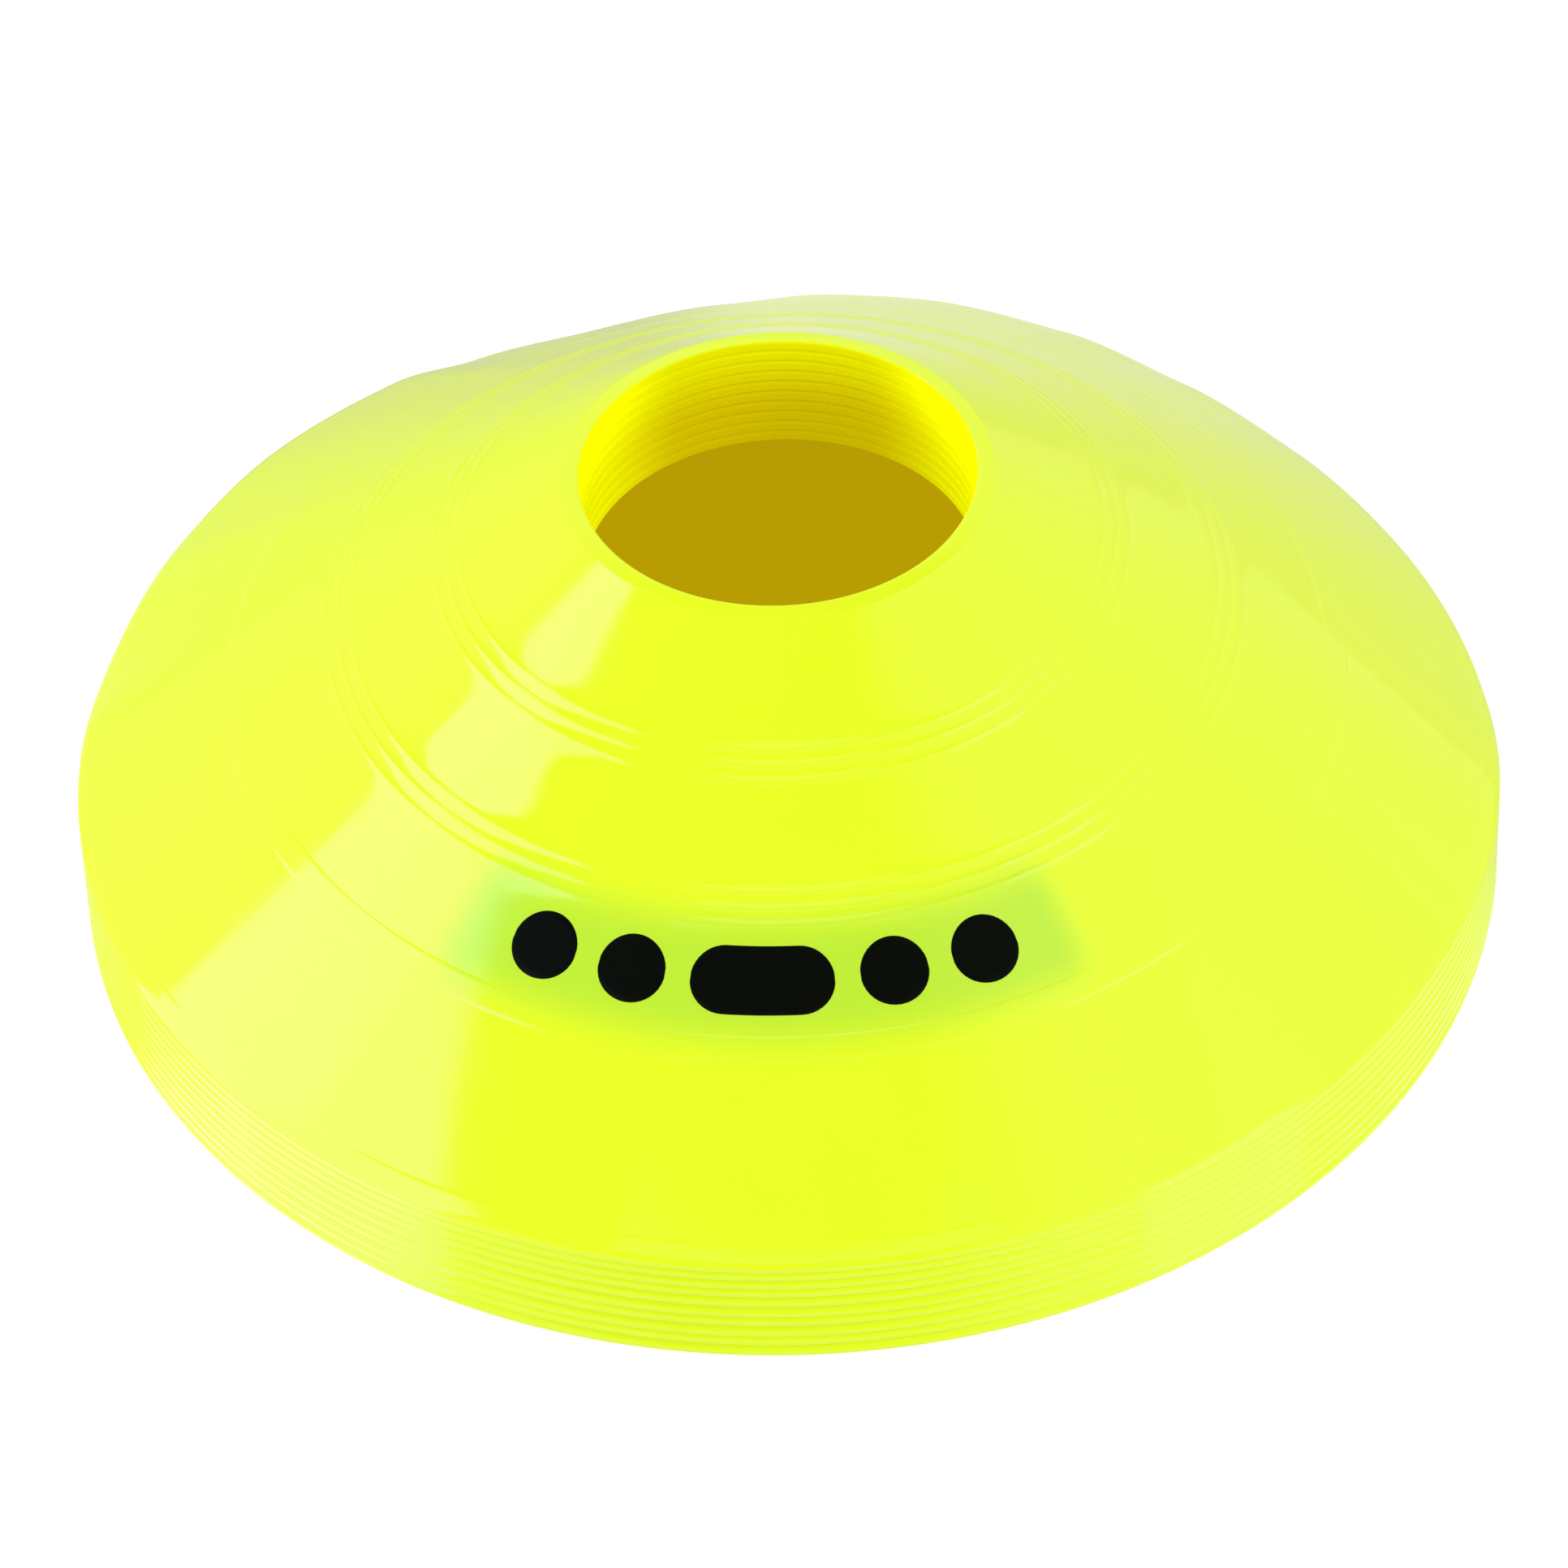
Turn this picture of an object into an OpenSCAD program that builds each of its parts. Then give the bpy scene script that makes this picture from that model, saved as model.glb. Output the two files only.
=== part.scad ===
// Nested stack of low disc-shaped field markers, each a thin hollow cone with a round hole in its top.
// Millimetres, Z up. The lowest disc stands on Z = 0 and the stack's axis is the Z axis.
// Every disc is one moulding, and each one lifts straight up off the disc below it.

/* [Stack] */
// Gap between the walls of two nested discs, square to the main cone
nesting_gap = 0.4; // [0.3:0.01:1]

/* [Disc] */
// Outer diameter of the rim
rim_diameter = 190; // [150:1:240]
// Height of one disc, from the foot of its rim to the top of its lip
disc_height = 50; // [35:1:70]
// Diameter of the round hole in the top
hole_diameter = 51.6; // [30:0.1:70]
// Thickness of the conical wall, square to its surface
wall = 1; // [0.8:0.05:1.2]

/* [Cone] */
// Radial width of the slightly steeper band between the main cone and the outer edge
rim_band = 2.4; // [2:0.1:6]
// Height above the foot at which the main cone meets that band, called the shoulder
shoulder_height = 2.5; // [1.5:0.05:3]
// Share of the way from the hole to the shoulder at which the upper, flatter cone meets the main cone
knuckle_radius_share = 0.23; // [0.15:0.01:0.26]
// Share of the height between shoulder and lip at which the two cones meet
knuckle_height_share = 0.8; // [0.7:0.01:0.86]

/* [Lip round the hole] */
// Radial width of the nearly flat ring round the hole
lip_ring = 2.4; // [1.5:0.1:3]
// Slope of that ring, in degrees
lip_slope = 10; // [9:1:20]
// Radius of the rounded upper edge of the hole
lip_round = 0.4; // [0.2:0.05:0.8]
// Height of the plain band of wall in the hole, under the rounding
lip_land = 0.85; // [0.5:0.05:0.85]

/* [Rim] */
// Height of the outer edge of the rim, with its rounding
rim_height = 0.85; // [0.7:0.05:1.2]
// Radius of the rounded upper edge of the rim
rim_round = 0.45; // [0.3:0.05:0.6]
// Width of the flat ring under the rim that the disc stands on
rim_foot = 0.8; // [0.6:0.02:1]

/* [Beads] */
// Share of the way from the hole to the shoulder at which the upper group's middle bead lies
upper_group_share = 0.268; // [0.266:0.001:0.4]
// Share of the way from the hole to the shoulder at which the lower group's middle bead lies
lower_group_share = 0.49; // [0.45:0.001:0.6]
// Radial distance between the beads of a group
bead_pitch = 1.68; // [1.2:0.02:2.5]
// Radial width of a bead at its foot
bead_width = 0.5; // [0.4:0.02:0.8]
// Radial width of a bead at its top
bead_top = 0.16; // [0.1:0.02:0.3]
// Height of a bead, square to the cone's surface
bead_height = 0.1; // [0.04:0.02:0.16]

/* [Raised ring] */
// Share of the way from the hole to the shoulder at which the middle of the raised ring lies
ring_share = 0.707; // [0.65:0.001:0.85]
// Radial width of the ring at its foot
ring_width = 2.8; // [1:0.1:5]
// Radial width of each sloping edge of the ring
ring_edge = 0.3; // [0.2:0.05:0.4]
// Height of the ring, square to the cone's surface
ring_height = 0.06; // [0.04:0.02:0.16]

/* [Output] */
// Piece to draw

/* [Hidden] */
$fn = 180;

// How far a cut runs past the surface that it cuts
overrun = 2;

// Colour of the moulded plastic
plastic = [0.87, 0.98, 0.14];

// Radii of the rim, the hole and the shoulder
rim_r = rim_diameter / 2;
hole_r = hole_diameter / 2;
shoulder_r = rim_r - rim_band;

// Radius at a share of the way from the hole to the shoulder
function flank_r(share) = hole_r + (shoulder_r - hole_r) * share;
knuckle_r = flank_r(knuckle_radius_share);

// Points of the section as [radius, height]
shoulder = [shoulder_r, shoulder_height];
knuckle_rise = (disc_height - shoulder_height) * knuckle_height_share;
knuckle = [knuckle_r, shoulder_height + knuckle_rise];
foot = [rim_r - rim_foot, 0];

// Centres of the two roundings
lip_centre = [hole_r + lip_round, disc_height - lip_round];
rim_centre = [rim_r - rim_round, rim_height - rim_round];

// Slope of a line that falls outwards from one point to another, in degrees
function fall(from, to) = atan2(from[1] - to[1], to[0] - from[0]);

// Outward direction square to a line of the given slope
function square_to(slope) = [sin(slope), cos(slope)];

// Distance of the ring round the hole from the axis origin, measured square to it
// The ring runs tangent to the rounding of the hole's edge
lip_out = square_to(lip_slope);
lip_outer = lip_out * lip_centre + lip_round;

// Outer end of that ring, where the upper cone starts
brow_r = hole_r + lip_ring;
brow = [brow_r, (lip_outer - lip_out[0] * brow_r) / lip_out[1]];

// Slopes of the upper cone, the main cone and the rim band
// The rim band runs tangent to the rounding of the rim
upper_slope = fall(brow, knuckle);
main_slope = fall(knuckle, shoulder);
rim_slope = fall(shoulder, rim_centre) - asin(rim_round / norm(shoulder - rim_centre));

// Height that each nested disc adds to the stack
nesting_pitch = (wall + nesting_gap) / cos(main_slope);

// Directions square to the three surfaces
upper_out = square_to(upper_slope);
main_out = square_to(main_slope);
rim_out = square_to(rim_slope);

// Distance of each inner surface from the axis origin, measured square to it
lip_inner = lip_outer - wall;
upper_inner = upper_out * knuckle - wall;
main_inner = main_out * knuckle - wall;
rim_inner = rim_out * foot;

// Point at which two lines meet, each given by its direction square to it and its distance
function meet(a_out, a_dist, b_out, b_dist) = let(
    turn = a_out[0] * b_out[1] - a_out[1] * b_out[0]
) [
    (a_dist * b_out[1] - b_dist * a_out[1]) / turn,
    (a_out[0] * b_dist - b_out[0] * a_dist) / turn
];

// Height of the lower edge of the hole
lip_bottom = disc_height - lip_round - lip_land;

// Corners of the inner surface, from the hole to the foot
inner_lip = meet(lip_out, lip_inner, [0, 1], lip_bottom);
inner_brow = meet(lip_out, lip_inner, upper_out, upper_inner);
inner_knuckle = meet(upper_out, upper_inner, main_out, main_inner);
inner_shoulder = meet(main_out, main_inner, rim_out, rim_inner);

// Distance of the rim band from the axis origin, measured square to it
rim_outer = rim_out * shoulder;

// Sharp corners of the section, before the two roundings are cut
lip_corner = meet(lip_out, lip_outer, [1, 0], hole_r);
rim_corner = meet(rim_out, rim_outer, [1, 0], rim_r);

// Point on the outer surface of the main cone at a radius
function on_main(r) = [r, shoulder_height + (shoulder_r - r) * tan(main_slope)];

// The four corners of a raised band on the main cone, from its upper to its lower foot
function raised(middle_r, width, top, height) = [
    on_main(middle_r - width / 2),
    on_main(middle_r - top / 2) + height * main_out,
    on_main(middle_r + top / 2) + height * main_out,
    on_main(middle_r + width / 2)
];

// Corners of the three beads of a group
function bead_group(middle_r) = [
    for (step = [-1:1], corner = raised(middle_r + step * bead_pitch, bead_width, bead_top, bead_height)) corner
];

// Section with sharp corners, solid down to Z = 0
module sharp_section() {
    polygon([
        [hole_r, 0],
        lip_corner,
        brow,
        knuckle,
        each bead_group(flank_r(upper_group_share)),
        each bead_group(flank_r(lower_group_share)),
        each raised(flank_r(ring_share), ring_width, ring_width - 2 * ring_edge, ring_height),
        shoulder,
        rim_corner,
        [rim_r, 0]
    ]);
}

// What a rounding cuts off a sharp corner, between the two directions square to its sides
module corner_waste(centre, radius, first_out, last_out) {
    reach = radius + overrun;
    difference() {
        polygon([
            centre,
            centre + reach * first_out,
            centre + reach * (first_out + last_out),
            centre + reach * last_out
        ]);
        translate(centre) circle(r = radius);
    }
}

// Section of the hollow under the wall, and of all that lies under Z = 0
module hollow_section() {
    polygon([
        [0, lip_bottom],
        inner_lip,
        inner_brow,
        inner_knuckle,
        inner_shoulder,
        foot,
        [rim_r + overrun, 0],
        [rim_r + overrun, -overrun],
        [0, -overrun]
    ]);
}

// Section of the wall with its two rounded edges
module wall_section() {
    difference() {
        sharp_section();
        hollow_section();
        corner_waste(lip_centre, lip_round, [-1, 0], lip_out);
        corner_waste(rim_centre, rim_round, rim_out, [1, 0]);
    }
}

// One disc, standing on Z = 0
module disc() {
    rotate_extrude() wall_section();
}

// A disc with a given number of discs nested under it
module nested(below) {
    color(plastic) translate([0, 0, below * nesting_pitch]) disc();
}

// The ten discs, from the top of the stack to the bottom
module disc_01() nested(9);
module disc_02() nested(8);
module disc_03() nested(7);
module disc_04() nested(6);
module disc_05() nested(5);
module disc_06() nested(4);
module disc_07() nested(3);
module disc_08() nested(2);
module disc_09() nested(1);
module disc_10() nested(0);

disc_01();
disc_02();
disc_03();
disc_04();
disc_05();
disc_06();
disc_07();
disc_08();
disc_09();
disc_10();
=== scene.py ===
import math

import bpy
import numpy as np
from mathutils import Matrix, Vector


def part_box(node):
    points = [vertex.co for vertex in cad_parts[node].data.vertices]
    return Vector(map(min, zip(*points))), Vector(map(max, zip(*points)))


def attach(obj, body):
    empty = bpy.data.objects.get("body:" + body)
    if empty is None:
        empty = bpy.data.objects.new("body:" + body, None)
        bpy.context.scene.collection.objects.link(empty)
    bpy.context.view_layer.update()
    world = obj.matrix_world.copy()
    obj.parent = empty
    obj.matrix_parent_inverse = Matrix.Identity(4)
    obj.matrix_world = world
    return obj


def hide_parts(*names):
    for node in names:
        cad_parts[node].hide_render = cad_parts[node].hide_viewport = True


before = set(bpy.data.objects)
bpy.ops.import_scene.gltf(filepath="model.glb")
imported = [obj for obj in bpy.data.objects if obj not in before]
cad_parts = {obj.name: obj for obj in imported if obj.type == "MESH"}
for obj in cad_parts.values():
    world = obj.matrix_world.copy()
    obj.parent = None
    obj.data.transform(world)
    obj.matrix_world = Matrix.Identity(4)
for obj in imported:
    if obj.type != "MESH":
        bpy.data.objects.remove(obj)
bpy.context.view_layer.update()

MM = 0.001

# Sizes of one disc
RIM_R = 95 * MM
DISC_HEIGHT = 50 * MM
HOLE_R = 25.8 * MM
WALL = 1 * MM
SHOULDER_R = 92.6 * MM
SHOULDER_HEIGHT = 2.5 * MM
KNUCKLE_RADIUS_SHARE = 0.23
KNUCKLE_HEIGHT_SHARE = 0.8
LIP_RING = 2.4 * MM
LIP_SLOPE = math.radians(10)
LIP_ROUND = 0.4 * MM
LIP_LAND = 0.85 * MM
RIM_HEIGHT = 0.85 * MM
RIM_ROUND = 0.45 * MM
RIM_FOOT = 0.8 * MM

# Bend of the cone as (radius in millimetres, slope in degrees), from the ring round the hole to
# the shoulder
CONE_SLOPES = ((28.2, 34.9), (41, 35.6), (53, 36.1), (65, 36.5), (83, 37.1), (92.6, 37.4))

# Beads and the raised ring, placed by shares of the way from the hole to the shoulder
GROUP_SHARES = (0.268, 0.49)
BEAD_PITCH = 1.68 * MM
BEAD_HEIGHT = 0.13 * MM
BEAD_CREST = 0.06 * MM
BEAD_FALL = 0.33 * MM
RING_SHARE = 0.707
RING_WIDTH = 2.5 * MM
RING_EDGE = 0.3 * MM
RING_HEIGHT = 0.05 * MM
BAND_STEP_WIDTH = 0.3 * MM
BAND_STEP = 0.02 * MM

# Rim of each disc above or below its even place at the front, in millimetres, the top disc first,
# and the share of this that holds round the stack, as (azimuth in degrees, share)
FRONT_SAG = (-0.6, -0.2, -0.05, 0.25, 0.25, 0.05, 0.25, 0, 0.2, 0)
FRONT_SHARE = [(-60, 1), (-20, 0), (200, 0), (240, 1)]

# Rim of the top disc above or below its even place, as (azimuth in degrees, millimetres)
TOP_SAG = [
    (-32, 0), (-12, -1.5), (10, -5.2), (26, -5.0), (41, -4.3), (53, -3.0), (64, -1.1), (76, 0),
    (85, -0.2), (94, -1.4), (107, -2.7), (116, -1.9), (124, 0), (138, 0.4), (151, -0.6),
    (166, -2.1), (177, -0.8), (195, 0), (300, 0),
]
SAG_START_R = 45 * MM

# A slight hollow at the back of every disc, as (azimuth in degrees, millimetres), with the radii
# between which it deepens and between which it ends
BACK_HOLLOW = [(30, 0), (70, -0.7), (115, -0.7), (150, 0)]
HOLLOW_START = (28.2 * MM, 43 * MM)
HOLLOW_END = (60 * MM, 93 * MM)

# Mesh density, with the lengths on both sides of a bead and of an edge that have fine steps
AZIMUTH_STEPS = 420
PLAIN_STEP = 1.6 * MM
FINE_STEP = 0.08 * MM
BEAD_REACH = 6 * FINE_STEP
EDGE_REACH = 3 * FINE_STEP
SLOPE_STEP = 0.01 * MM
CONE_POINTS = 400
LIP_STEPS = 10
RIM_STEPS = 7
INNER_STEPS = (1, 12, 3, 1)

# Points of the section that take the hole edge's painted light past the end of its rounding, on the
# top disc and on the discs under it
TOP_EDGE_POINTS = -5
LOWER_EDGE_POINTS = 3

# The print on the front: dots and a bar, with a bare gap between them
PRINT_R = 66 * MM
PRINT_AZIMUTH = -93.8
MARK_HEIGHT = 8.8 * MM
BAR_LENGTH = 18.4 * MM
MARK_GAP = 3.2 * MM
MARK_LENGTHS = (MARK_HEIGHT, MARK_HEIGHT, BAR_LENGTH, MARK_HEIGHT, MARK_HEIGHT)
INK_THICKNESS = 0.03 * MM
INK_DEPTH = 0.05 * MM
MARK_END_STEPS = 10
BAR_COLUMNS = 13
MARK_ROWS = 9

# Painted shade round the print: the plastic there is drawn greener and darker, where the ink of this
# print and of those on the discs below takes light from inside the plastic
PRINT_SHADE_HALF_LENGTH = 37 * MM
PRINT_SHADE_HALF_WIDTH = 2.5 * MM
PRINT_SHADE_FADE = 7 * MM
PRINT_SHADE_SHARE = 0.9

# Camera of the photograph
PHOTO_SIDE_PX = 1932
FOCAL_PX = 10097
SENSOR_MM = 36
CAMERA_ELEVATION = math.radians(43.253)
CAMERA_ROLL = math.radians(2.184)
CAMERA_DISTANCE = 1100 * MM
CAMERA_TARGET = Vector((-0.705 * MM, 0, 9.966 * MM))

scene = bpy.context.scene
DISCS = sorted(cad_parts)


def linear(red, green, blue):
    """Colour for a shader from the three values of a picture, 0 to 255."""
    def one(value):
        share = value / 255
        if share <= 0.04045:
            return share / 12.92
        return ((share + 0.055) / 1.055) ** 2.4
    return (one(red), one(green), one(blue), 1.0)


# Colours
PLASTIC = linear(228, 249, 34)
# Painted shade round the print
PRINT_SHADE = linear(174, 227, 58)
# Painted light and shade of the hole's edge: light on the sides, yellow at the back near the top,
# amber and darker deep in the stack, where only light that has run through the plastic reaches, and a
# painted glow
HOLE_SIDES_PAINTED_LIGHT = linear(246, 255, 2)
HOLE_LOW_SIDES_PAINTED_LIGHT = linear(222, 226, 2)
HOLE_TOP_PAINTED_LIGHT = linear(208, 208, 2)
HOLE_DEEP_PAINTED_SHADE = linear(186, 157, 2)
HOLE_EDGE_PAINTED_GLOW = linear(236, 236, 0)
# Painted shade of the underside: the plastic drawn yellower and darker, as where light reaches it only
# through the wall
UNDERSIDE_SHADE = linear(224, 226, 8)
SPECK = linear(96, 88, 12)
INK = linear(8, 10, 4)
# Painted amber glow of the floor under the stack, for light that comes through the discs
FLOOR_PAINTED_GLOW_UNDER_STACK = linear(183, 156, 3)
# Colour of a faint painted glow of the plastic
PLASTIC_PAINTED_GLOW = linear(228, 249, 0)
PANEL_TINT = (0.35, 0.75, 1, 1)
WHITE = (1, 1, 1, 1)
BLACK = (0, 0, 0, 1)

# Finish of the plastic, with cells along a metre for the noise that makes it hazy and uneven
PLASTIC_ROUGHNESS = (0.07, 0.11)
PLASTIC_IOR = 1.5
# Strength of the painted glow over all the plastic, which also lifts the shade in its gaps
PLASTIC_PAINTED_GLOW_STRENGTH = 0.15
HAZE_CELLS = 60
SKIN_CELLS = 900
SKIN_STRENGTH = 0.02
SKIN_DEPTH = 0.05 * MM

# Dark specks, each in a cell of its own, with the share of cells that have none and the distances
# from a cell's middle, in cells, between which a speck fades
SPECK_CELLS = 110
SPECK_FREE_SHARE = 0.965
SPECK_EDGE = (0.02, 0.034)

# Finish of the hole's edge and the strength of its painted glow, with the share of the stack's depth
# at which its painted shade is deepest and the distances to the side between which it takes the
# painted light of the sides
HOLE_ROUGHNESS = 0.6
HOLE_EDGE_PAINTED_GLOW_STRENGTH = 0.3
HOLE_SHADE_DEEPEST = 0.7
HOLE_TO_SIDES = (0.45 * HOLE_R, 0.95 * HOLE_R)

# Finish of the ink
INK_ROUGHNESS = (0.4, 0.5)
INK_GLOSS = 0.04
GRAIN_CELLS = 1500

# Values between which a noise texture mostly lies
NOISE_LIMITS = (0.3, 0.7)


# Section of a disc

def smooth_step(low, high, value):
    share = np.clip((value - low) / (high - low), 0, 1)
    return share * share * (3 - 2 * share)


def square_to(slope):
    return np.array((math.sin(slope), math.cos(slope)))


def fall(start, end):
    return math.atan2(start[1] - end[1], end[0] - start[0])


def meet(a_out, a_distance, b_out, b_distance):
    return np.linalg.solve(np.array((a_out, b_out)), np.array((a_distance, b_distance)))


def flank_r(share):
    """Radius at a share of the way from the hole to the shoulder."""
    return HOLE_R + (SHOULDER_R - HOLE_R) * share


shoulder = np.array((SHOULDER_R, SHOULDER_HEIGHT))
knuckle_rise = (DISC_HEIGHT - SHOULDER_HEIGHT) * KNUCKLE_HEIGHT_SHARE
knuckle = np.array((flank_r(KNUCKLE_RADIUS_SHARE), SHOULDER_HEIGHT + knuckle_rise))
foot_corner = np.array((RIM_R - RIM_FOOT, 0))
lip_centre = np.array((HOLE_R + LIP_ROUND, DISC_HEIGHT - LIP_ROUND))
rim_centre = np.array((RIM_R - RIM_ROUND, RIM_HEIGHT - RIM_ROUND))
lip_bottom = DISC_HEIGHT - LIP_ROUND - LIP_LAND

lip_out = square_to(LIP_SLOPE)
lip_outer = lip_out @ lip_centre + LIP_ROUND
brow_r = HOLE_R + LIP_RING
brow = np.array((brow_r, (lip_outer - lip_out[0] * brow_r) / lip_out[1]))
upper_slope = fall(brow, knuckle)
main_slope = fall(knuckle, shoulder)
rim_turn = math.asin(RIM_ROUND / np.linalg.norm(shoulder - rim_centre))
rim_slope = fall(shoulder, rim_centre) - rim_turn
upper_out = square_to(upper_slope)
main_out = square_to(main_slope)
rim_out = square_to(rim_slope)
lip_tangent = lip_centre + LIP_ROUND * lip_out
rim_tangent = rim_centre + RIM_ROUND * rim_out

upper_inner = upper_out @ knuckle - WALL
main_inner = main_out @ knuckle - WALL
inner_lip = meet(lip_out, lip_outer - WALL, (0, 1), lip_bottom)
inner_brow = meet(lip_out, lip_outer - WALL, upper_out, upper_inner)
inner_knuckle = meet(upper_out, upper_inner, main_out, main_inner)
inner_shoulder = meet(main_out, main_inner, rim_out, rim_out @ foot_corner)

BEAD_RADII = [flank_r(share) + step * BEAD_PITCH for share in GROUP_SHARES for step in (-1, 0, 1)]
RING_R = flank_r(RING_SHARE)

# Radii and heights of the cone's smoothly bent outer surface, from the ring round the hole to the
# shoulder
cone_radii = np.linspace(brow_r, SHOULDER_R, CONE_POINTS)
cone_falls = np.tan(np.radians(np.interp(cone_radii / MM, *zip(*CONE_SLOPES))))
cone_drops = np.concatenate(([0], np.cumsum((cone_falls[1:] + cone_falls[:-1]) / 2)))
cone_heights = brow[1] - cone_drops / cone_drops[-1] * (brow[1] - SHOULDER_HEIGHT)


def plain_height(r):
    """Height of the outer surface at a radius, without its beads and steps."""
    radii = [lip_tangent[0], *cone_radii, rim_tangent[0]]
    heights = [lip_tangent[1], *cone_heights, rim_tangent[1]]
    return np.interp(r, radii, heights)


def slope_at(r):
    """Slope of the outer surface at a radius, without its beads and steps."""
    return math.atan2(plain_height(r - SLOPE_STEP) - plain_height(r + SLOPE_STEP), 2 * SLOPE_STEP)


def relief(r):
    """Height of the beads, the raised ring and the rim band's step, square to the plain surface."""
    height = 0
    for middle in BEAD_RADII:
        distance = math.hypot(r - middle, BEAD_CREST) - BEAD_CREST
        height += BEAD_HEIGHT * math.exp(-distance / BEAD_FALL)
    from_edge = abs(r - RING_R) - RING_WIDTH / 2
    height += RING_HEIGHT * (1 - smooth_step(-RING_EDGE / 2, RING_EDGE / 2, from_edge))
    in_band = smooth_step(-BAND_STEP_WIDTH / 2, BAND_STEP_WIDTH / 2, r - SHOULDER_R)
    return height + BAND_STEP * in_band


def outer_radii():
    """Radii at which the outer surface is drawn, close together where it has relief."""
    fine = [(brow_r - FINE_STEP, brow_r + FINE_STEP)]
    fine += [(middle - BEAD_REACH, middle + BEAD_REACH) for middle in BEAD_RADII]
    for edge in (RING_R - RING_WIDTH / 2, RING_R + RING_WIDTH / 2, SHOULDER_R):
        fine.append((edge - EDGE_REACH, edge + EDGE_REACH))
    radii = [lip_tangent[0]]
    for low, high in fine + [(rim_tangent[0], rim_tangent[0])]:
        plain_steps = math.ceil((low - radii[-1]) / PLAIN_STEP)
        radii += list(np.linspace(radii[-1], low, plain_steps + 1))[1:]
        fine_steps = round((high - low) / FINE_STEP)
        radii += list(np.linspace(low, high, fine_steps + 1))[1:]
    return radii


def arc(centre, radius, start, end, steps):
    """Points on an arc between two angles in radians, the ends left out."""
    angles = np.linspace(start, end, steps + 1)[1:-1]
    return [centre + radius * np.array((math.cos(a), math.sin(a))) for a in angles]


def section(number):
    """Closed outline of the wall, from the hole's lower edge over the outside and back inside.

    Number 0 is the top disc. It returns the points and those with a sharp edge. For each point
    it also tells whether the face that follows belongs to the hole's edge, and its share of
    underside.
    """
    points = [(HOLE_R, lip_bottom), (HOLE_R, lip_centre[1])]
    points += arc(lip_centre, LIP_ROUND, math.pi, math.pi / 2 - LIP_SLOPE, LIP_STEPS)
    edge_end = len(points) + (TOP_EDGE_POINTS if number == 0 else LOWER_EDGE_POINTS)
    for r in outer_radii():
        points.append(np.array((r, plain_height(r))) + relief(r) * square_to(slope_at(r)))
    points += arc(rim_centre, RIM_ROUND, math.pi / 2 - rim_slope, 0, RIM_STEPS)
    points.append((RIM_R, rim_centre[1]))
    foot = len(points)
    points += [(RIM_R, 0), foot_corner]
    corners = (foot_corner, inner_shoulder, inner_knuckle, inner_brow, inner_lip)
    for start, end, steps in zip(corners, corners[1:], INNER_STEPS):
        for step in range(1, steps + 1):
            points.append(start + (end - start) * step / steps)
    outline = np.array([tuple(p) for p in points], float)
    sharp = [0, foot, foot + 1, len(points) - 1]
    in_edge = np.zeros(len(points), bool)
    in_edge[:edge_end] = True
    in_edge[-1] = True
    under_share = np.zeros(len(points))
    under_share[foot + 1:] = 1
    return outline, sharp, in_edge, under_share


def stack_depth(number):
    """How far down the stack a disc lies, from 0 for the top disc to 1 for the lowest."""
    return number / (len(DISCS) - 1)


def round_the_clock(table, azimuth):
    """Smooth value at an azimuth, in degrees, from a list of (azimuth, value)."""
    places = np.array([a for a, _ in table] + [table[0][0] + 360], float)
    values = np.array([v for _, v in table] + [table[0][1]], float)
    turned = (np.asarray(azimuth, float) - places[0]) % 360 + places[0]
    at = np.clip(np.searchsorted(places, turned, side="right") - 1, 0, len(places) - 2)
    share = smooth_step(places[at], places[at + 1], turned)
    return values[at] + (values[at + 1] - values[at]) * share


def sag(number, azimuth, r):
    """How far the soft wall of a disc stands above its even place. Number 0 is the top disc."""
    back = round_the_clock(TOP_SAG, azimuth) * (1 - stack_depth(number))
    front = round_the_clock(FRONT_SHARE, azimuth) * FRONT_SAG[number]
    reach = np.clip((r - SAG_START_R) / (RIM_R - SAG_START_R), 0, None) ** 2
    hollow_share = smooth_step(*HOLLOW_START, r) * (1 - smooth_step(*HOLLOW_END, r))
    return ((back + front) * reach + round_the_clock(BACK_HOLLOW, azimuth) * hollow_share) * MM


# Meshes

def new_mesh(name, points, faces, sharp_edges=frozenset()):
    mesh = bpy.data.meshes.new(name)
    mesh.from_pydata(points, [], faces)
    mesh.shade_smooth()
    for edge in mesh.edges:
        if tuple(sorted(edge.vertices)) in sharp_edges:
            edge.use_edge_sharp = True
    piece = bpy.data.objects.new(name, mesh)
    scene.collection.objects.link(piece)
    return piece


def write_attribute(piece, name, kind, values):
    """Stores one value for each point of a mesh, for its material to read."""
    attribute = piece.data.attributes.new(name, kind, "POINT")
    field = "vector" if kind == "FLOAT_VECTOR" else "value"
    attribute.data.foreach_set(field, np.asarray(values, np.float32).reshape(-1))


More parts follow.
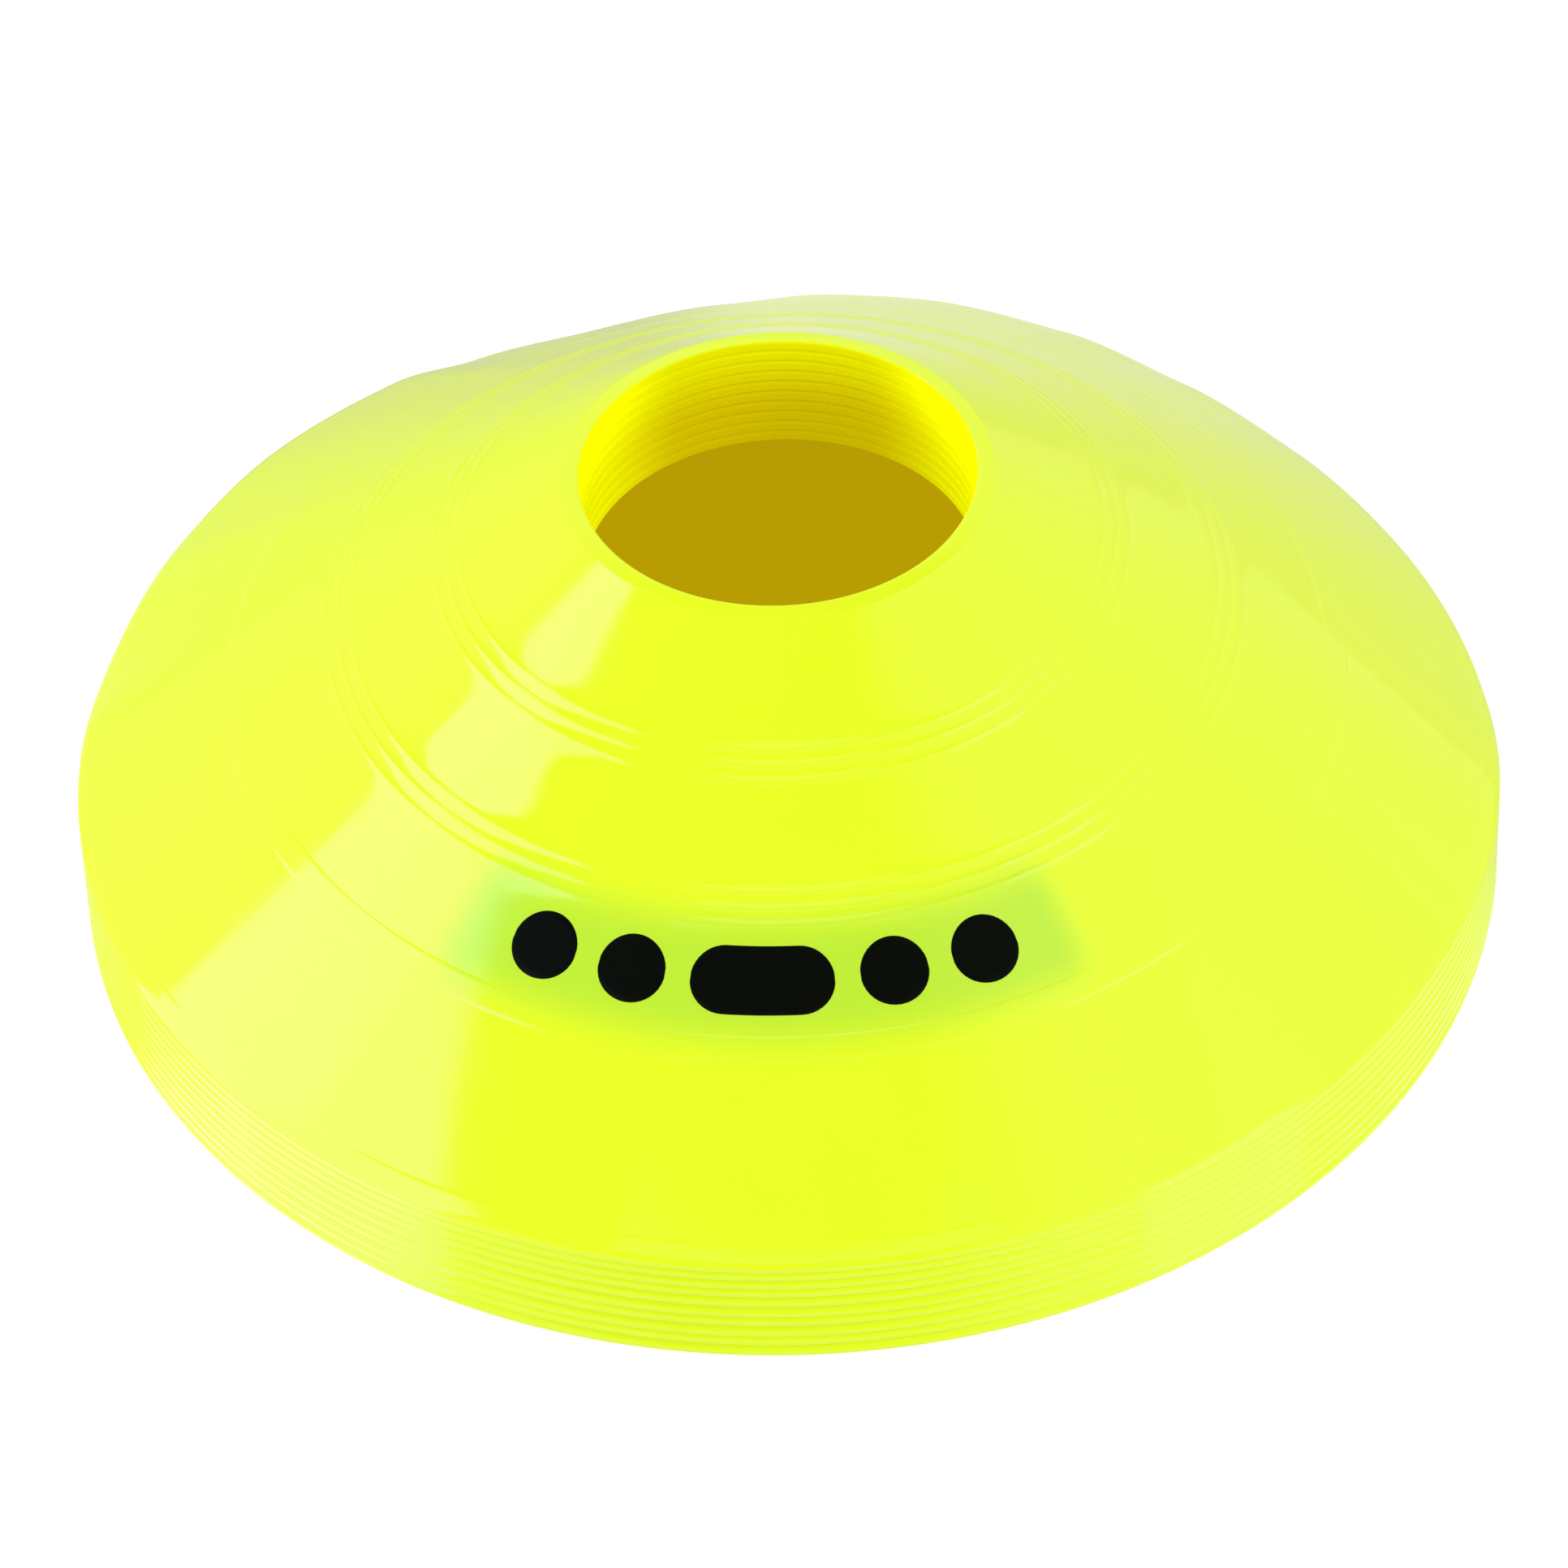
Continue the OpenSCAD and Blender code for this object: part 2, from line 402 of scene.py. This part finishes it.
def marker_disc(number, foot_z):
    """The wall of one disc, revolved and sagged."""
    outline, sharp, in_edge, under_share = section(number)
    count = len(outline)
    turns = np.arange(AZIMUTH_STEPS)[:, None] * 2 * math.pi / AZIMUTH_STEPS
    r = np.broadcast_to(outline[:, 0], (AZIMUTH_STEPS, count))
    x = r * np.cos(turns)
    y = r * np.sin(turns)
    z = outline[:, 1] + foot_z + sag(number, np.degrees(turns), r)
    points = np.stack((x, y, z), -1).reshape(-1, 3)

    here = np.arange(AZIMUTH_STEPS)[:, None] * count
    there = np.roll(here, -1, axis=0)
    i = np.arange(count)
    j = np.roll(i, -1)
    faces = np.stack((here + i, here + j, there + j, there + i), -1).reshape(-1, 4)
    edges = set()
    for corner in sharp:
        for a, b in zip((here[:, 0] + corner).tolist(), (there[:, 0] + corner).tolist()):
            edges.add((min(a, b), max(a, b)))
    piece = new_mesh("marker_disc_%02d" % (number + 1), points.tolist(), faces.tolist(), edges)
    slots = np.tile(in_edge, AZIMUTH_STEPS).astype(np.int32)
    piece.data.polygons.foreach_set("material_index", slots)

    local = np.stack((x, y, np.broadcast_to(outline[:, 1], x.shape)), -1)
    write_attribute(piece, "disc_place", "FLOAT_VECTOR", local)
    write_attribute(piece, "underside", "FLOAT", np.broadcast_to(under_share, x.shape))
    write_attribute(piece, "stack_depth", "FLOAT", np.full(x.shape, stack_depth(number)))
    return piece


def on_wall(number, foot_z, along, down, lift):
    """Point over the outer wall, from a place on the print: along it and down the slope, in metres."""
    r = PRINT_R + down * math.cos(main_slope)
    azimuth = math.radians(PRINT_AZIMUTH) + along / PRINT_R
    z = plain_height(r) + foot_z + sag(number, math.degrees(azimuth), r)
    r = r + lift * main_out[0]
    return (r * math.cos(azimuth), r * math.sin(azimuth), float(z + lift * main_out[1]))


def mark_columns(length):
    """Columns of places, each from edge to edge, that fill a dot or a bar with round ends."""
    radius = MARK_HEIGHT / 2
    spine = (length - MARK_HEIGHT) / 2
    quarter = math.pi / 2
    steps = range(1, MARK_END_STEPS)
    ends = [radius * math.cos(quarter * step / MARK_END_STEPS) for step in steps]
    straight = list(np.linspace(-spine, spine, BAR_COLUMNS)) if spine > 0 else [0]
    places = [-spine - end for end in ends] + straight + [spine + end for end in reversed(ends)]
    columns = []
    for along in places:
        past = max(abs(along) - spine, 0)
        half = math.sqrt(radius ** 2 - past ** 2)
        columns.append([(along, half * share) for share in np.linspace(-1, 1, MARK_ROWS)])
    return columns


def print_marks(number, foot_z):
    """The print of one disc: dots on both sides of a bar, as thin closed bodies of ink."""
    left = -(sum(MARK_LENGTHS) + MARK_GAP * (len(MARK_LENGTHS) - 1)) / 2
    points, faces = [], []
    for length in MARK_LENGTHS:
        middle = left + length / 2
        left += length + MARK_GAP
        columns = mark_columns(length)
        layer = len(columns) * MARK_ROWS
        first = len(points)
        for lift in (INK_THICKNESS, -INK_DEPTH):
            for column in columns:
                points += [on_wall(number, foot_z, middle + a, d, lift) for a, d in column]
        for i in range(len(columns) - 1):
            for j in range(MARK_ROWS - 1):
                a = first + i * MARK_ROWS + j
                b = a + MARK_ROWS
                faces.append((a, a + 1, b + 1, b))
                faces.append((a + layer, b + layer, b + layer + 1, a + layer + 1))
        last = first + layer - MARK_ROWS
        border = [first + i * MARK_ROWS for i in range(len(columns))]
        border += [last + j for j in range(1, MARK_ROWS)]
        border += [first + (i + 1) * MARK_ROWS - 1 for i in reversed(range(len(columns) - 1))]
        border += [first + j for j in reversed(range(1, MARK_ROWS - 1))]
        for a, b in zip(border, border[1:] + border[:1]):
            faces.append((a, b, b + layer, a + layer))
    return new_mesh("front_print_%02d" % (number + 1), points, faces)


# Materials

# Numbers of the Mix node's two inputs and its output, because its sockets share their names
MIX_SOCKETS = {"RGBA": (6, 7, 2), "FLOAT": (2, 3, 0)}


def add(tree, kind, **settings):
    made = tree.nodes.new(kind)
    for name, value in settings.items():
        setattr(made, name, value)
    return made


def put(tree, socket, value):
    """Links an output to a socket, or sets the socket to a plain value."""
    if isinstance(value, bpy.types.NodeSocket):
        tree.links.new(value, socket)
    else:
        socket.default_value = value


def calc(tree, operation, *values):
    made = add(tree, "ShaderNodeMath", operation=operation)
    for socket, value in zip(made.inputs, values):
        put(tree, socket, value)
    return made.outputs[0]


def ramp(tree, value, start, end, low=0.0, high=1.0):
    """Goes smoothly from low to high while a value goes from start to end."""
    made = add(tree, "ShaderNodeMapRange", interpolation_type="SMOOTHSTEP")
    names = ("Value", "From Min", "From Max", "To Min", "To Max")
    for name, part in zip(names, (value, start, end, low, high)):
        put(tree, made.inputs[name], part)
    return made.outputs["Result"]


def mixed(tree, factor, first, second, kind="RGBA"):
    """A colour between two others."""
    made = add(tree, "ShaderNodeMix", data_type=kind)
    first_input, second_input, output = MIX_SOCKETS[kind]
    put(tree, made.inputs[0], factor)
    put(tree, made.inputs[first_input], first)
    put(tree, made.inputs[second_input], second)
    return made.outputs[output]


def mixed_value(tree, factor, first, second):
    """A number between two others."""
    return mixed(tree, factor, first, second, "FLOAT")


def axes_of(tree, vector):
    """The X, Y and Z of a vector."""
    made = add(tree, "ShaderNodeSeparateXYZ")
    put(tree, made.inputs[0], vector)
    return tuple(made.outputs)


def noise(tree, place, cells):
    """Noise with a number of cells along a metre."""
    made = add(tree, "ShaderNodeTexNoise")
    put(tree, made.inputs["Vector"], place)
    made.inputs["Scale"].default_value = cells
    return made.outputs["Fac"]


def attribute(tree, name, output="Fac"):
    return add(tree, "ShaderNodeAttribute", attribute_name=name).outputs[output]


def new_material(name):
    """A material with its tree and its Principled shader."""
    material = bpy.data.materials.new(name)
    material.use_nodes = True
    tree = material.node_tree
    return material, tree, tree.nodes["Principled BSDF"]


def print_shade_mask(tree, x, y, r):
    """Mask of the painted shade round the print: 1 on and next to the print, falling away over the
    plastic around it.
    """
    azimuth = math.radians(PRINT_AZIMUTH)
    cosine, sine = math.cos(azimuth), math.sin(azimuth)
    ahead = calc(tree, "ADD", calc(tree, "MULTIPLY", x, cosine), calc(tree, "MULTIPLY", y, sine))
    to_left = calc(tree, "MULTIPLY", x, sine)
    aside = calc(tree, "SUBTRACT", calc(tree, "MULTIPLY", y, cosine), to_left)
    along = calc(tree, "MULTIPLY", calc(tree, "ARCTAN2", aside, ahead), PRINT_R)
    down = calc(tree, "SUBTRACT", r, PRINT_R)
    squares = 0.0
    for distance, half in ((along, PRINT_SHADE_HALF_LENGTH), (down, PRINT_SHADE_HALF_WIDTH)):
        over = calc(tree, "SUBTRACT", calc(tree, "ABSOLUTE", distance), half)
        past = calc(tree, "MAXIMUM", over, 0.0)
        squares = calc(tree, "ADD", squares, calc(tree, "POWER", past, 2.0))
    return ramp(tree, calc(tree, "SQRT", squares), 0.0, PRINT_SHADE_FADE, 1.0, 0.0)


def moulded_plastic():
    """The glossy plastic of the walls, with painted shade round the print and on the underside, a
    faint painted glow and a few dark specks.
    """
    material, tree, shader = new_material("fluorescent_plastic")
    place = attribute(tree, "disc_place", "Vector")
    x, y, _ = axes_of(tree, place)
    squares = calc(tree, "ADD", calc(tree, "POWER", x, 2.0), calc(tree, "POWER", y, 2.0))
    r = calc(tree, "SQRT", squares)
    # Painted shade round the print
    print_shade = calc(tree, "MULTIPLY", print_shade_mask(tree, x, y, r), PRINT_SHADE_SHARE)
    colour = mixed(tree, print_shade, PLASTIC, PRINT_SHADE)
    # Painted shade on the underside
    colour = mixed(tree, attribute(tree, "underside"), colour, UNDERSIDE_SHADE)

    specks = add(tree, "ShaderNodeTexVoronoi", feature="F1")
    put(tree, specks.inputs["Vector"], place)
    specks.inputs["Scale"].default_value = SPECK_CELLS
    chance = add(tree, "ShaderNodeSeparateColor")
    put(tree, chance.inputs[0], specks.outputs["Color"])
    near = ramp(tree, specks.outputs["Distance"], *SPECK_EDGE, 1.0, 0.0)
    has_speck = calc(tree, "GREATER_THAN", chance.outputs[0], SPECK_FREE_SHARE)
    colour = mixed(tree, calc(tree, "MULTIPLY", near, has_speck), colour, SPECK)
    put(tree, shader.inputs["Base Color"], colour)

    haze = ramp(tree, noise(tree, place, HAZE_CELLS), *NOISE_LIMITS, *PLASTIC_ROUGHNESS)
    put(tree, shader.inputs["Roughness"], haze)
    shader.inputs["IOR"].default_value = PLASTIC_IOR
    # Painted glow over all the plastic
    shader.inputs["Emission Color"].default_value = PLASTIC_PAINTED_GLOW
    shader.inputs["Emission Strength"].default_value = PLASTIC_PAINTED_GLOW_STRENGTH

    skin = add(tree, "ShaderNodeBump")
    skin.inputs["Strength"].default_value = SKIN_STRENGTH
    skin.inputs["Distance"].default_value = SKIN_DEPTH
    put(tree, skin.inputs["Height"], noise(tree, place, SKIN_CELLS))
    put(tree, shader.inputs["Normal"], skin.outputs["Normal"])
    return material


def edge_painted_light():
    """The edge round the hole, with painted light, painted shade and a painted glow for the light that
    has run through the wall and comes out there.
    """
    material, tree, shader = new_material("plastic_edge_painted_light")
    x, _, _ = axes_of(tree, attribute(tree, "disc_place", "Vector"))
    # Painted shade that deepens down the stack, and painted light on the sides
    depth = ramp(tree, attribute(tree, "stack_depth"), 0.0, HOLE_SHADE_DEEPEST)
    back = mixed(tree, depth, HOLE_TOP_PAINTED_LIGHT, HOLE_DEEP_PAINTED_SHADE)
    lit_sides = mixed(tree, depth, HOLE_SIDES_PAINTED_LIGHT, HOLE_LOW_SIDES_PAINTED_LIGHT)
    sideways = ramp(tree, calc(tree, "ABSOLUTE", x), *HOLE_TO_SIDES)
    put(tree, shader.inputs["Base Color"], mixed(tree, sideways, back, lit_sides))
    shader.inputs["Roughness"].default_value = HOLE_ROUGHNESS
    shader.inputs["Specular IOR Level"].default_value = 0
    shader.inputs["Emission Color"].default_value = HOLE_EDGE_PAINTED_GLOW
    shader.inputs["Emission Strength"].default_value = HOLE_EDGE_PAINTED_GLOW_STRENGTH
    return material


def printed_ink():
    """Black ink with little gloss and a fine grain."""
    material, tree, shader = new_material("black_ink")
    place = add(tree, "ShaderNodeTexCoord").outputs["Object"]
    grain = noise(tree, place, GRAIN_CELLS)
    put(tree, shader.inputs["Roughness"], ramp(tree, grain, *NOISE_LIMITS, *INK_ROUGHNESS))
    shader.inputs["Base Color"].default_value = INK
    shader.inputs["Specular IOR Level"].default_value = INK_GLOSS
    return material


# Stage

FLOOR_SIZE = 6
FLOOR_DROP = 0.1 * MM
FLOOR_WHITE = (0.55, 0.55, 0.55, 1)
FLOOR_FILL = 0.8

# Light of the floor in the gloss: all round, and more of it at the front, the left and the right.
# Each patch has the azimuths in degrees at which it starts, is full, fades and ends.
FLOOR_IN_GLOSS = 0.2
FLOOR_PATCHES = (
    ((195, 240, 335, 358), 0.7),
    ((200, 214, 229, 241), 2.4),
    ((275, 300, 322, 345), 0.5),
)

# The gloss is darker behind the stack, on the left. Its azimuths are given as those of a patch.
DIM_AZIMUTHS = (88, 101, 130, 150)
DIM_SHARE = 0.3

# Light that the world throws on the stack
WORLD_LIGHT = 0.39
FRONT_LIGHT = 0.29
SIDE_LIGHT = 0.44
LEFT_LIGHT = 0.9
BACK_LEFT_LIGHT = 0.7

# Light of the studio in the gloss
DARK_STUDIO = 0.12
LOW_STUDIO = 0.7
SIDE_STUDIO = 0.95
RIGHT_STUDIO = 1.05
BACK_STUDIO = 1.0

# Where each part of the studio starts and where it is full, as the X, Y or Z of a direction, and
# for the back left as its Y less its X
SIDE_START = (0.15, 0.6)
SIDE_TOP = (0.75, 0.45)
RIGHT_TOP = (0.93, 0.86)
BACK_START = (0.5, 0.7)
BACK_FOOT = (0.28, 0.38)
LOW_TOP = (0.3, 0.02)
LEFT_START = (-0.2, -0.8)
BACK_LEFT_START = (0.6, 1.3)

# Bright panels that the gloss shows, as (azimuths in degrees, elevations in degrees, light)
PANELS = (
    ((161.5, 186), (10, 47.4), 4.5),
    ((186, 215), (10, 47.4), 3.7),
    ((115, 155), (50, 66), 2.7),
    ((20, 60), (48, 64), 2.0),
    ((210, 330), (72, 86), 1.5),
    ((322, 348), (24, 39), 3.0),
    ((236, 304), (46, 55.3), 0.9),
)
PANEL_EDGE = 0.6

LAMP_AIM = Vector((0, 0, 30 * MM))


def azimuth_of(tree, x, y):
    """Azimuth of a direction, from 0 to a full turn in radians."""
    return calc(tree, "WRAP", calc(tree, "ARCTAN2", y, x), math.tau, 0.0)


def between(tree, azimuth, azimuths, most):
    """Rises to most and falls again between azimuths in degrees: its start, full, fading and end."""
    start, full, fading, end = (math.radians(limit) for limit in azimuths)
    rising = ramp(tree, azimuth, start, full, 0.0, most)
    return calc(tree, "MULTIPLY", rising, ramp(tree, azimuth, fading, end, 1.0, 0.0))


def seen_directly(tree, path):
    """1 for what the camera sees, by itself or through a clear body."""
    return calc(tree, "MAXIMUM", path.outputs["Is Camera Ray"], path.outputs["Is Transmission Ray"])


def studio_floor():
    """A white floor that stays white in the picture, and under the stack a painted amber glow for the
    light that comes through the discs.
    """
    half = FLOOR_SIZE / 2
    turns = ((-1, -1), (1, -1), (1, 1), (-1, 1))
    corners = [(x * half, y * half, -FLOOR_DROP) for x, y in turns]
    floor = new_mesh("studio_floor", corners, [(0, 1, 2, 3)])
    material, tree, shader = new_material("studio_floor")
    path = add(tree, "ShaderNodeLightPath")
    glossy = path.outputs["Is Glossy Ray"]
    position = add(tree, "ShaderNodeNewGeometry").outputs["Position"]
    from_axis = add(tree, "ShaderNodeVectorMath", operation="LENGTH")
    put(tree, from_axis.inputs[0], position)
    outside = calc(tree, "GREATER_THAN", from_axis.outputs["Value"], RIM_R - RIM_FOOT / 2)
    x, y, _ = axes_of(tree, position)
    azimuth = azimuth_of(tree, x, y)
    dim = calc(tree, "MULTIPLY", between(tree, azimuth, DIM_AZIMUTHS, DIM_SHARE), glossy)

    white = mixed(tree, dim, FLOOR_WHITE, BLACK)
    put(tree, shader.inputs["Base Color"], mixed(tree, outside, BLACK, white))
    shader.inputs["Roughness"].default_value = 1
    shader.inputs["Specular IOR Level"].default_value = 0
    # Under the stack the floor is black with a painted amber glow
    put(tree, shader.inputs["Emission Color"], mixed(tree, outside, FLOOR_PAINTED_GLOW_UNDER_STACK, WHITE))
    in_gloss = mixed_value(tree, dim, FLOOR_IN_GLOSS, 0.0)
    for azimuths, light in FLOOR_PATCHES:
        in_gloss = calc(tree, "ADD", in_gloss, between(tree, azimuth, azimuths, light))
    in_gloss = calc(tree, "MULTIPLY", glossy, in_gloss)
    fill = calc(tree, "MULTIPLY", seen_directly(tree, path), FLOOR_FILL)
    fill = calc(tree, "ADD", fill, in_gloss)
    put(tree, shader.inputs["Emission Strength"], mixed_value(tree, outside, 1.0, fill))
    floor.data.materials.append(material)


def panel_share(tree, azimuth, elevation, azimuths, elevations):
    """1 where the gloss shows a panel, given by its limits in degrees."""
    share = 1.0
    for value, (low, high) in ((azimuth, azimuths), (elevation, elevations)):
        for limit, inward in ((low, PANEL_EDGE), (high, -PANEL_EDGE)):
            start, end = math.radians(limit - inward), math.radians(limit + inward)
            share = calc(tree, "MULTIPLY", share, ramp(tree, value, start, end))
    return share


def studio_world():
    """White behind the object, soft light on it, and a dark studio with bright panels in its gloss."""
    world = bpy.data.worlds.new("studio")
    scene.world = world
    world.use_nodes = True
    tree = world.node_tree
    background = tree.nodes["Background"]
    path = add(tree, "ShaderNodeLightPath")
    glossy = path.outputs["Is Glossy Ray"]
    x, y, z = axes_of(tree, add(tree, "ShaderNodeTexCoord").outputs["Generated"])
    elevation = calc(tree, "ARCSINE", z)
    azimuth = azimuth_of(tree, x, y)

    to_side = ramp(tree, calc(tree, "ABSOLUTE", x), *SIDE_START)
    side_share = calc(tree, "MULTIPLY", to_side, ramp(tree, z, *SIDE_TOP))
    to_right = ramp(tree, x, *SIDE_START)
    right_share = calc(tree, "MULTIPLY", to_right, ramp(tree, z, *RIGHT_TOP))
    to_back = ramp(tree, y, *BACK_START)
    back_share = calc(tree, "MULTIPLY", to_back, ramp(tree, z, *BACK_FOOT))
    in_gloss = ramp(tree, z, *LOW_TOP, DARK_STUDIO, LOW_STUDIO)
    for share, studio in ((side_share, SIDE_STUDIO), (right_share, RIGHT_STUDIO)):
        in_gloss = calc(tree, "MAXIMUM", in_gloss, calc(tree, "MULTIPLY", share, studio))
    dim = between(tree, azimuth, DIM_AZIMUTHS, DIM_SHARE)
    in_gloss = mixed_value(tree, dim, in_gloss, 0.0)
    in_gloss = calc(tree, "MAXIMUM", in_gloss, calc(tree, "MULTIPLY", back_share, BACK_STUDIO))
    tint = 0.0
    for azimuths, elevations, light in PANELS:
        share = panel_share(tree, azimuth, elevation, azimuths, elevations)
        in_gloss = mixed_value(tree, share, in_gloss, light)
        tint = calc(tree, "MAXIMUM", tint, share)

    on_stack = calc(tree, "ADD", WORLD_LIGHT, calc(tree, "MULTIPLY", side_share, SIDE_LIGHT))
    on_stack = calc(tree, "SUBTRACT", on_stack, calc(tree, "MULTIPLY", y, FRONT_LIGHT))
    left = ramp(tree, x, *LEFT_START, 0.0, LEFT_LIGHT)
    on_stack = calc(tree, "ADD", on_stack, left)
    to_back_left = calc(tree, "SUBTRACT", y, x)
    back_left = ramp(tree, to_back_left, *BACK_LEFT_START, 0.0, BACK_LEFT_LIGHT)
    on_stack = calc(tree, "ADD", on_stack, back_left)

    light = mixed_value(tree, glossy, on_stack, in_gloss)
    light = mixed_value(tree, seen_directly(tree, path), light, 1.0)
    tint = calc(tree, "MULTIPLY", tint, glossy)
    put(tree, background.inputs["Color"], mixed(tree, tint, WHITE, PANEL_TINT))
    put(tree, background.inputs["Strength"], light)


def softbox(name, azimuth, elevation, distance, width, height, energy):
    """A rectangular lamp that faces the middle of the stack."""
    lamp = bpy.data.lights.new(name, "AREA")
    lamp.shape = "RECTANGLE"
    lamp.size = width
    lamp.size_y = height
    lamp.energy = energy
    box = bpy.data.objects.new(name, lamp)
    scene.collection.objects.link(box)
    a, e = math.radians(azimuth), math.radians(elevation)
    away = Vector((math.cos(a) * math.cos(e), math.sin(a) * math.cos(e), math.sin(e)))
    box.location = away * distance + LAMP_AIM
    box.rotation_euler = away.to_track_quat("Z", "Y").to_euler()
    box.visible_glossy = False


def photo_camera():
    """The camera of the photograph, which looks along +Y and down."""
    camera = bpy.data.objects.new("photo_camera", bpy.data.cameras.new("photo_camera"))
    scene.collection.objects.link(camera)
    camera.data.sensor_fit = "HORIZONTAL"
    camera.data.sensor_width = SENSOR_MM
    camera.data.lens = FOCAL_PX / PHOTO_SIDE_PX * SENSOR_MM
    forward = Vector((0, math.cos(CAMERA_ELEVATION), -math.sin(CAMERA_ELEVATION)))
    up = Vector((0, math.sin(CAMERA_ELEVATION), math.cos(CAMERA_ELEVATION)))
    right = Vector((1, 0, 0))
    across = math.cos(CAMERA_ROLL) * right - math.sin(CAMERA_ROLL) * up
    upward = math.sin(CAMERA_ROLL) * right + math.cos(CAMERA_ROLL) * up
    turn = Matrix((across, upward, -forward)).transposed().to_4x4()
    camera.matrix_world = Matrix.Translation(CAMERA_TARGET - forward * CAMERA_DISTANCE) @ turn
    scene.camera = camera


def main():
    photo_camera()
    plastic = moulded_plastic()
    edge = edge_painted_light()
    ink = printed_ink()
    for number, node in enumerate(DISCS):
        foot_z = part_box(node)[0].z
        disc = marker_disc(number, foot_z)
        disc.data.materials.append(plastic)
        disc.data.materials.append(edge)
        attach(disc, node)
        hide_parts(node)
        marks = print_marks(number, foot_z)
        marks.data.materials.append(ink)
        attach(marks, node)
    studio_floor()
    studio_world()
    softbox(
        "right_softbox", azimuth=338, elevation=34, distance=1.4,
        width=0.6, height=0.36, energy=5.4,
    )
    scene.view_settings.view_transform = "Standard"


main()
